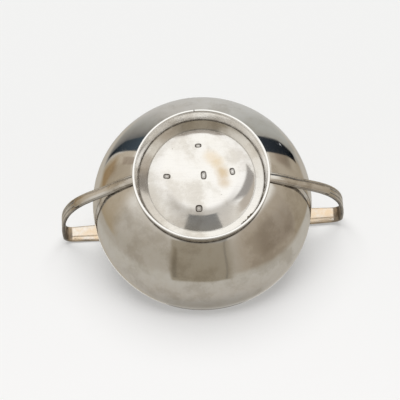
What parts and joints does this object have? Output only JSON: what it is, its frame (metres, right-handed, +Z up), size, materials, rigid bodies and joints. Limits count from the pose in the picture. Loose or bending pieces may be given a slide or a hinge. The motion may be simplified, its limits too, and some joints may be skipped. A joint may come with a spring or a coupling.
{
  "type": "two-handled silver cup",
  "caption": "Deep round raised silver cup on a low collar foot, with two tall square-topped reeded strap handles rising above the rim.",
  "frame": {"origin": "middle of the foot's rest plane, on the axis of the bowl", "axes": "+Z up along the bowl's axis, +X through the middle of the right handle, +Y to the back"},
  "size_m": [0.1458, 0.109, 0.081],
  "materials": {
    "silver": "polished silver sheet, worn, with fine scratches and a warm tarnish",
    "bright_silver": "silver wire rubbed bright by handling",
    "solder": "dull silver solder, darkened in the corners"
  },
  "bodies": {
    "root": {"bowl": "silver", "rim_wire": "bright_silver", "foot_collar": "silver", "foot_wire": "bright_silver", "foot_solder": "solder", "right_handle": "silver", "right_tongue": "silver", "right_rim_solder": "solder", "right_root_solder": "solder", "left_handle": "silver", "left_tongue": "silver", "left_rim_solder": "solder", "left_root_solder": "solder"}
  },
  "joints": []
}
